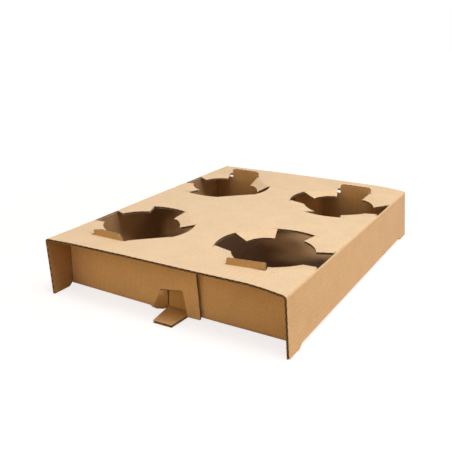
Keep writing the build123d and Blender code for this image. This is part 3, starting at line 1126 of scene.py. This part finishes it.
# %% Build the board
def flute_heights(blank):
    """The wavy middle paper: its two heights through the board at places in the blank."""
    middle = (board / 2 - liner - flute_paper / 2) * np.sin(2 * pi * blank[:, 0] / flute_pitch)
    return middle - flute_paper / 2, middle + flute_paper / 2


def build(name, finishes, step, y_step, heights):
    """One layer of the board, between the heights that it has at its places in the blank."""
    slabs = []
    for patch in patches(step, y_step):
        start, sign = patch.in_blank
        blank = np.column_stack([patch.points * (sign, 1) + (start, 0), patch.tone(patch.points)])
        slabs.append(slab(patch, *heights(blank), blank))
    whole = np.vstack([slab_flat[:, :2] for *_, slab_flat in slabs])
    print(name, "flat size in mm", np.ptp(whole, axis=0).round(1))
    return board_object(name, slabs, finishes)


build("outside_liner", [outside_finish, edge_finish], liner_step, liner_step,
      lambda blank: (board / 2 - liner, board / 2))
build("inside_liner", [inside_finish, painted_shade_edge_finish], liner_step, liner_step,
      lambda blank: (-board / 2, liner - board / 2))
build("flutes", [flute_painted_shade_finish, edge_finish], flute_step, flute_run, flute_heights)

# %% [markdown]
# ## Floor and light
#
# The carrier stands on a pale floor in soft light. To the camera the floor glows almost white
# of itself, so that only a faint shadow is left on it. To all other rays it is warm, like the
# table that throws its light up under the front rim.

# %% Floor
floor_half = 4
table_colour, seen_colour = (0.79, 0.52, 0.23, 1), (0.3, 0.25, 0.2, 1)
floor_mesh = bpy.data.meshes.new("floor")
floor_corners = [(x * floor_half, y * floor_half, 0) for x, y in ((-1, -1), (1, -1), (1, 1), (-1, 1))]
floor_mesh.from_pydata(floor_corners, [], [(0, 1, 2, 3)])
floor = bpy.data.objects.new("floor", floor_mesh)
bpy.context.scene.collection.objects.link(floor)
floor_finish = bpy.data.materials.new("pale_floor")
floor_finish.use_nodes = True
tree = floor_finish.node_tree
tree.nodes.clear()
seen = add(tree, "LightPath").outputs["Is Camera Ray"]
from_middle = add(tree, "VectorMath", {0: add(tree, "NewGeometry").outputs["Position"]},
                  operation="LENGTH").outputs["Value"]
level = spread(tree, from_middle, 0.25, 0.9, 0.78, 1.0)
cloth = add(tree, "Mix", {0: seen, 6: table_colour, 7: seen_colour}, data_type="RGBA")
matt = add(tree, "BsdfDiffuse", {"Color": cloth.outputs[2]})
glow = add(tree, "Emission", {"Strength": reckon(tree, "MULTIPLY", seen, level)})
both = add(tree, "AddShader", {0: matt.outputs[0], 1: glow.outputs[0]})
tree.links.new(both.outputs[0], add(tree, "OutputMaterial").inputs["Surface"])
floor_mesh.materials.append(floor_finish)
print("floor", 2 * floor_half, "m wide, finish", floor_finish.name)

# %% [markdown]
# The world is white to the camera and in gloss, and gives only a weak light of its own. A cool
# lamp hangs overhead, and a warm one stands low at the right and lights the side wall. A small
# one is high at the back right, and a wide and warm one is far in front at the left.

# %% World and lamps
ambient = 0.12
world = bpy.data.worlds.new("world")
bpy.context.scene.world = world
world.use_nodes = True
tree = world.node_tree
path = add(tree, "LightPath")
shows = reckon(tree, "MAXIMUM", path.outputs["Is Camera Ray"], path.outputs["Is Glossy Ray"])
shows = reckon(tree, "MAXIMUM", shows, path.outputs["Is Transmission Ray"])
sky = tree.nodes["Background"]
sky.inputs["Color"].default_value = (1, 1, 1, 1)
tree.links.new(spread(tree, shows, 0, 1, ambient, 1), sky.inputs["Strength"])


def lamp(name, place, size, power, colour):
    """A rectangular area lamp that faces the middle of the carrier."""
    data = bpy.data.lights.new(name, "AREA")
    data.shape = "RECTANGLE"
    data.size, data.size_y = size
    data.energy, data.color = power, colour
    piece = bpy.data.objects.new(name, data)
    piece.location = place
    piece.rotation_euler = (-Vector(place)).to_track_quat("-Z", "Y").to_euler()
    bpy.context.scene.collection.objects.link(piece)


lamp("key", (1.3, -0.5, 0.4), size=(0.5, 0.5), power=3.25, colour=(0.98, 0.9, 0.82))
lamp("back_right", (0.55, 0.4, 0.95), size=(0.4, 0.4), power=4.0, colour=(0.92, 0.88, 0.86))
lamp("overhead", (0.15, -0.2, 1.15), size=(0.6, 0.6), power=14.2, colour=(0.66, 0.74, 0.94))
lamp("left_front", (-1.1, -1.5, 0.95), size=(1.6, 0.8), power=8.3, colour=(1, 0.72, 0.34))
bpy.context.scene.view_settings.view_transform = "Standard"
print("lamps", [light.name for light in bpy.data.lights])
